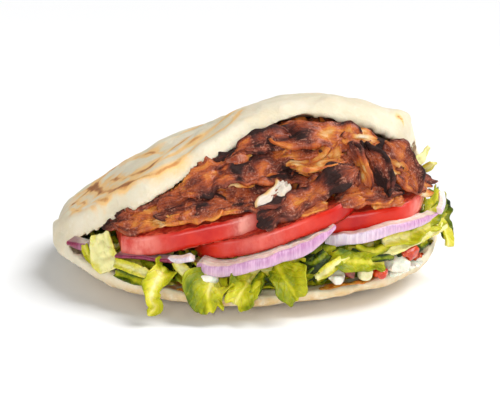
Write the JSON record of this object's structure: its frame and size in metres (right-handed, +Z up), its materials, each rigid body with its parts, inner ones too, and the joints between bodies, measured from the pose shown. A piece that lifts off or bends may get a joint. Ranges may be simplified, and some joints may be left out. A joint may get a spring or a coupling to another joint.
{
  "type": "doner kebab sandwich",
  "caption": "Slit pita pocket filled with lettuce, red onion, tomato slices and shaved doner meat, with a little yoghurt and chilli sauce.",
  "frame": {"origin": "centre of the bounding box, at the level of the flat spot that the bread rests on", "axes": "+Z up; -Y towards the open mouth of the pocket; +X along the sandwich, towards the end where the mouth gapes widest"},
  "size_m": [0.1749, 0.1524, 0.0829],
  "materials": {
    "bread": "floury toasted flatbread, pale cream with brown grill marks",
    "tomato": "wet red tomato, glossy skin and moist flesh",
    "onion": "raw red onion, white flesh with purple skin",
    "meat": "roasted shaved meat, brown and glistening with crisp dark edges",
    "lettuce": "fresh lettuce, yellow-green to dark green with pale ribs",
    "yoghurt": "thick white yoghurt sauce",
    "chilli": "red chilli sauce and red pepper",
    "garnish": "pale yellow diced cabbage stalk"
  },
  "bodies": {
    "root": {"chilli_blob": "chilli", "garnish_cube": "garnish", "lettuce_bed": "lettuce", "lettuce_centre_leaf": "lettuce", "lettuce_curl": "lettuce", "lettuce_dark_leaf": "lettuce", "lettuce_frill": "lettuce", "lettuce_front_leaf": "lettuce", "lettuce_long_rib": "lettuce", "lettuce_rib_left": "lettuce", "lettuce_right_leaf": "lettuce", "lettuce_strip_left": "lettuce", "meat_heap": "meat", "meat_slice_diagonal": "meat", "meat_slice_end": "meat", "meat_slice_golden": "meat", "meat_slice_long_left": "meat", "meat_slice_low_left": "meat", "meat_slice_lower_right": "meat", "meat_slice_right": "meat", "meat_slice_top": "meat", "meat_slice_upper_left": "meat", "onion_arc_front": "onion", "onion_arc_right": "onion", "onion_strip_left": "onion", "onion_tip_left": "onion", "pepper_dice": "chilli", "pickled_bit": "chilli", "pita_bread": "bread", "tomato_slice_left": "tomato", "tomato_slice_middle": "tomato", "tomato_slice_right": "tomato", "yoghurt_pool_left": "yoghurt", "yoghurt_pool_middle": "yoghurt", "yoghurt_pool_right": "yoghurt"}
  },
  "joints": []
}
